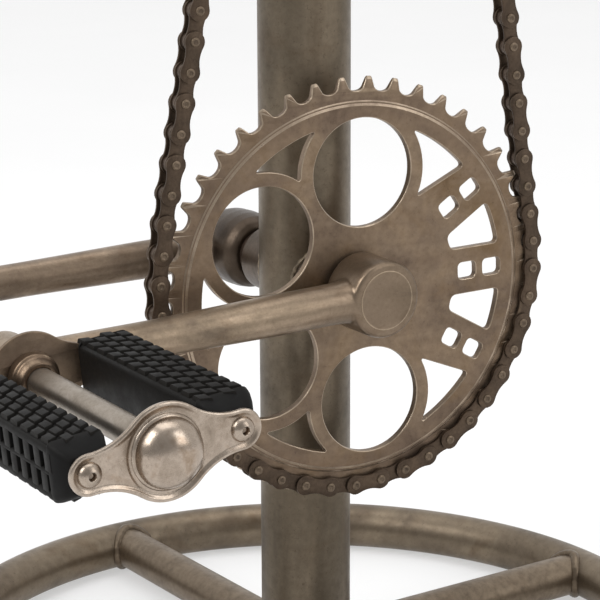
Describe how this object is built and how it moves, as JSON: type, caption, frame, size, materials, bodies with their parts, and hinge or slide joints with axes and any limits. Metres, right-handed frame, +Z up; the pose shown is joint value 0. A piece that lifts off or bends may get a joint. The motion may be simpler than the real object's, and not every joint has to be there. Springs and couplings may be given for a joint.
{
  "type": "unicycle style bar stool",
  "caption": "Bar stool styled as a unicycle: tubular ring base, post with chainring and chain loop, forward cranks with block pedals as foot rests, and a clamped leather saddle.",
  "frame": {"origin": "on the floor at the centre of the post's foot plug", "axes": "+Z up along the post; -Y the way the cranks and the saddle's nose point; +X the side of the chainring and chain"},
  "size_m": [0.4013, 0.3932, 0.7498],
  "materials": {
    "frame_steel": "antiqued raw steel, brown-grey, mottled",
    "ring_steel": "antiqued raw steel with golden-brown streaks",
    "chain_steel": "dark brown oiled steel",
    "nickel": "worn nickel plate, satin",
    "bronze": "worn bronze, satin",
    "pedal_rubber": "moulded black rubber, studded",
    "saddle_leather": "dark brown leather, satin"
  },
  "bodies": {
    "frame": {"post": "frame_steel", "post_plug": "frame_steel", "post_bush": "frame_steel", "base_ring": "frame_steel", "spoke_right": "frame_steel", "spoke_back": "frame_steel", "spoke_left": "frame_steel", "spoke_front": "frame_steel", "bottom_bracket_shell": "frame_steel", "crank_axle": "frame_steel", "right_axle_spacer": "frame_steel", "left_axle_spacer": "frame_steel", "chainring": "ring_steel", "drive_chain": "chain_steel", "upper_stub": "frame_steel", "upper_sprocket": "ring_steel", "sprocket_washer": "chain_steel", "sprocket_bolt": "chain_steel", "right_crank": "frame_steel", "left_crank": "frame_steel", "right_boss_plug": "frame_steel", "left_boss_plug": "frame_steel", "right_pedal_spindle": "nickel", "left_pedal_spindle": "nickel", "clamp_collar": "nickel", "clamp_skewer": "nickel"},
    "right_pedal": {"right_pedal_inner_plate": "nickel", "right_pedal_outer_plate": "nickel", "right_pedal_sleeve": "nickel", "right_pedal_collar": "bronze", "right_pedal_bush": "nickel", "right_pedal_front_rubber": "pedal_rubber", "right_pedal_rear_rubber": "pedal_rubber", "right_pedal_front_tie_rod": "nickel", "right_pedal_rear_tie_rod": "nickel", "right_pedal_dust_cap": "nickel"},
    "left_pedal": {"left_pedal_inner_plate": "nickel", "left_pedal_outer_plate": "nickel", "left_pedal_sleeve": "nickel", "left_pedal_collar": "bronze", "left_pedal_bush": "nickel", "left_pedal_front_rubber": "pedal_rubber", "left_pedal_rear_rubber": "pedal_rubber", "left_pedal_front_tie_rod": "nickel", "left_pedal_rear_tie_rod": "nickel", "left_pedal_dust_cap": "nickel"},
    "clamp_lever": {"clamp_lever": "nickel"},
    "seat_post": {"seat_post": "frame_steel", "saddle_clamp_head": "frame_steel"},
    "saddle": {"saddle_leather": "saddle_leather", "left_rail": "frame_steel", "right_rail": "frame_steel", "left_rail_clamp": "frame_steel", "right_rail_clamp": "frame_steel", "tilt_bolt": "nickel", "left_tilt_nut": "nickel", "right_tilt_nut": "nickel", "nose_bracket": "frame_steel", "cantle_plate": "frame_steel"}
  },
  "joints": [
    {"name": "right_pedal_spin", "type": "hinge", "parent": "frame", "child": "right_pedal", "pos_m": [0.14, -0.17143, 0.18801], "axis": [1, 0, 0], "continuous": true},
    {"name": "left_pedal_spin", "type": "hinge", "parent": "frame", "child": "left_pedal", "pos_m": [-0.14, -0.17143, 0.18801], "axis": [1, 0, 0], "continuous": true},
    {"name": "clamp_lever_swing", "type": "hinge", "parent": "frame", "child": "clamp_lever", "pos_m": [0.0165, 0.031, 0.6125], "axis": [0, 0, 1], "range_deg": [0, 110]},
    {"name": "seat_height", "type": "slide", "parent": "frame", "child": "seat_post", "axis": [0, 0, 1], "range_m": [0, 0.09]},
    {"name": "saddle_tilt", "type": "hinge", "parent": "seat_post", "child": "saddle", "pos_m": [0, 0, 0.6705], "axis": [1, 0, 0], "range_deg": [-12, 12]}
  ]
}
